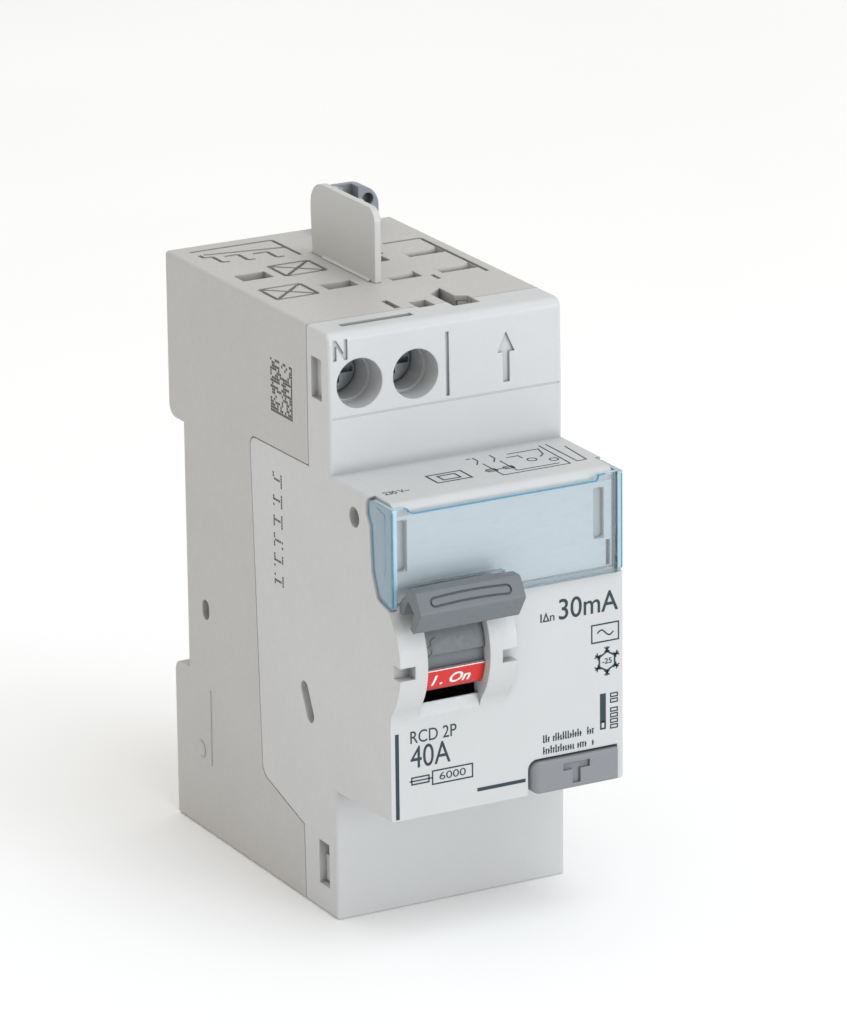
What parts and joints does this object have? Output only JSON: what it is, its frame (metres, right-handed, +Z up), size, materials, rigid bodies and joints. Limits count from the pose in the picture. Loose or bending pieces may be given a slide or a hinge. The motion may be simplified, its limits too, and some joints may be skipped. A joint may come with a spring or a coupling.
{
  "type": "residual current device",
  "caption": "Two-pole residual current device for a 35 mm rail: toggle, test button, hinged clear label flap, screw clamps, comb outlets and a busbar barrier, with its contacts and trip parts inside.",
  "frame": {"origin": "on the rail's centre line at the joint between the two modules, in the plane where the rail's face seats in the notch", "axes": "+X to the right seen from the front, -Y out of the front, +Z up"},
  "size_m": [0.0356, 0.0714, 0.0934],
  "materials": {
    "housing_plastic": "fine moulded grain, light warm grey",
    "cover_plastic": "fine moulded grain, light grey",
    "toggle_plastic": "fine moulded grain, mid grey",
    "on_label_red": "printed red",
    "off_label_green": "printed green",
    "steel": "bright drawn steel",
    "spring_steel": "drawn wire",
    "plated_steel": "zinc plated",
    "copper": "rolled copper",
    "contact_silver": "silver alloy",
    "contact_brass": "rolled brass",
    "inner_plastic": "dark thermoset",
    "blue_insulation": "wire insulation",
    "brown_insulation": "wire insulation",
    "core_metal": "wound strip or sintered metal",
    "winding_copper": "enamelled wire",
    "board_green": "circuit board",
    "capacitor_sleeve": "shrink sleeve",
    "button_plastic": "fine moulded grain, mid grey",
    "resistor_body": "lacquered ceramic",
    "clear_blue": "clear plastic with a blue tint",
    "label_paper": "card",
    "barrier_plastic": "fine moulded grain, near white",
    "latch_plastic": "smooth moulded, darker grey"
  },
  "bodies": {
    "housing": {"rear_base": "housing_plastic", "front_cover": "cover_plastic", "toggle_pin": "steel", "carrier_shaft": "steel", "fixed_contact_tips": "contact_silver", "arc_plates": "steel", "neutral_supply_bar": "copper", "line_supply_bar": "copper", "neutral_output_bar": "copper", "line_output_bar": "copper", "comb_spring_clamps": "spring_steel", "neutral_conductor": "blue_insulation", "line_conductor": "brown_insulation", "sensor_casing": "inner_plastic", "sensor_core": "core_metal", "sensor_winding": "winding_copper", "relay_housing": "inner_plastic", "relay_coil": "winding_copper", "relay_magnet": "core_metal", "relay_board": "board_green", "filter_capacitor": "capacitor_sleeve", "trip_lever_shaft": "steel", "test_contact_post": "contact_brass", "test_resistor": "resistor_body", "test_wire": "blue_insulation", "label_card": "label_paper"},
    "toggle": {"toggle": "toggle_plastic", "on_label": "on_label_red", "off_label": "off_label_green", "toggle_spring": "spring_steel", "crank_pin": "steel"},
    "link": {"drive_link": "steel", "carrier_link_pin": "steel"},
    "contacts": {"contact_carrier": "inner_plastic", "moving_contact_arms": "copper", "moving_contact_tips": "contact_silver", "contact_springs": "spring_steel"},
    "neutral_screw": {"neutral_terminal_screw": "plated_steel"},
    "line_screw": {"line_terminal_screw": "plated_steel"},
    "neutral_cage": {"neutral_clamp_cage": "plated_steel"},
    "line_cage": {"line_clamp_cage": "plated_steel"},
    "plunger": {"relay_plunger": "inner_plastic"},
    "trip_lever": {"trip_lever": "inner_plastic"},
    "test_button": {"test_button": "button_plastic", "test_contact_blade": "contact_brass", "button_spring": "spring_steel"},
    "label_window": {"label_window": "clear_blue"},
    "barrier": {"busbar_barrier": "barrier_plastic"},
    "upper_latch": {"upper_rail_latch": "latch_plastic"},
    "lower_latch": {"lower_rail_latch": "latch_plastic"}
  },
  "joints": [
    {"name": "toggle_swing", "type": "hinge", "parent": "housing", "child": "toggle", "pos_m": [0, -0.053, 0.0006], "axis": [1, 0, 0], "range_deg": [0, 62]},
    {"name": "link_swing", "type": "hinge", "parent": "toggle", "child": "link", "pos_m": [0, -0.05135, 0.00334], "axis": [1, 0, 0], "range_deg": [-65.5, 0]},
    {"name": "carrier_rock", "type": "hinge", "parent": "housing", "child": "contacts", "pos_m": [0, -0.024, -0.014], "axis": [1, 0, 0], "range_deg": [0, 11.2]},
    {"name": "neutral_screw_turn", "type": "hinge", "parent": "housing", "child": "neutral_screw", "pos_m": [-0.01315, -0.037, 0.0347], "axis": [0, 1, 0], "range_deg": [0, 1300]},
    {"name": "line_screw_turn", "type": "hinge", "parent": "housing", "child": "line_screw", "pos_m": [-0.00465, -0.037, 0.0347], "axis": [0, 1, 0], "range_deg": [0, 1300]},
    {"name": "neutral_cage_draw", "type": "slide", "parent": "housing", "child": "neutral_cage", "axis": [0, -1, 0], "range_m": [0, 0.00288]},
    {"name": "line_cage_draw", "type": "slide", "parent": "housing", "child": "line_cage", "axis": [0, -1, 0], "range_m": [0, 0.00288]},
    {"name": "trip_lever_swing", "type": "hinge", "parent": "housing", "child": "trip_lever", "pos_m": [0, -0.038, -0.012], "axis": [-1, 0, 0], "range_deg": [0, 12.2]},
    {"name": "plunger_drop", "type": "slide", "parent": "housing", "child": "plunger", "axis": [0, 0, -1], "range_m": [0, 0.0015]},
    {"name": "test_button_press", "type": "slide", "parent": "housing", "child": "test_button", "axis": [0, 1, 0], "range_m": [0, 0.0015], "stiffness_N_per_m": 400},
    {"name": "label_window_lift", "type": "hinge", "parent": "housing", "child": "label_window", "pos_m": [0, -0.0563, 0.0209], "axis": [-1, 0, 0], "range_deg": [0, 95]},
    {"name": "barrier_lift", "type": "slide", "parent": "housing", "child": "barrier", "axis": [0, 0, 1], "range_m": [0, 0.0035]},
    {"name": "upper_latch_pull", "type": "slide", "parent": "housing", "child": "upper_latch", "axis": [0, 0, 1], "range_m": [0, 0.0032]},
    {"name": "lower_latch_pull", "type": "slide", "parent": "housing", "child": "lower_latch", "axis": [0, 0, -1], "range_m": [0, 0.0032]}
  ],
  "couplings": [
    {"joint": "link_swing", "follows": "toggle_swing", "ratio": -1.0484},
    {"joint": "carrier_rock", "follows": "toggle_swing", "ratio": 0.17742},
    {"joint": "neutral_screw_turn", "follows": "neutral_cage_draw", "rad_per_m": 7854},
    {"joint": "line_screw_turn", "follows": "line_cage_draw", "rad_per_m": 7854},
    {"joint": "trip_lever_swing", "follows": "plunger_drop", "rad_per_m": 139.63}
  ]
}
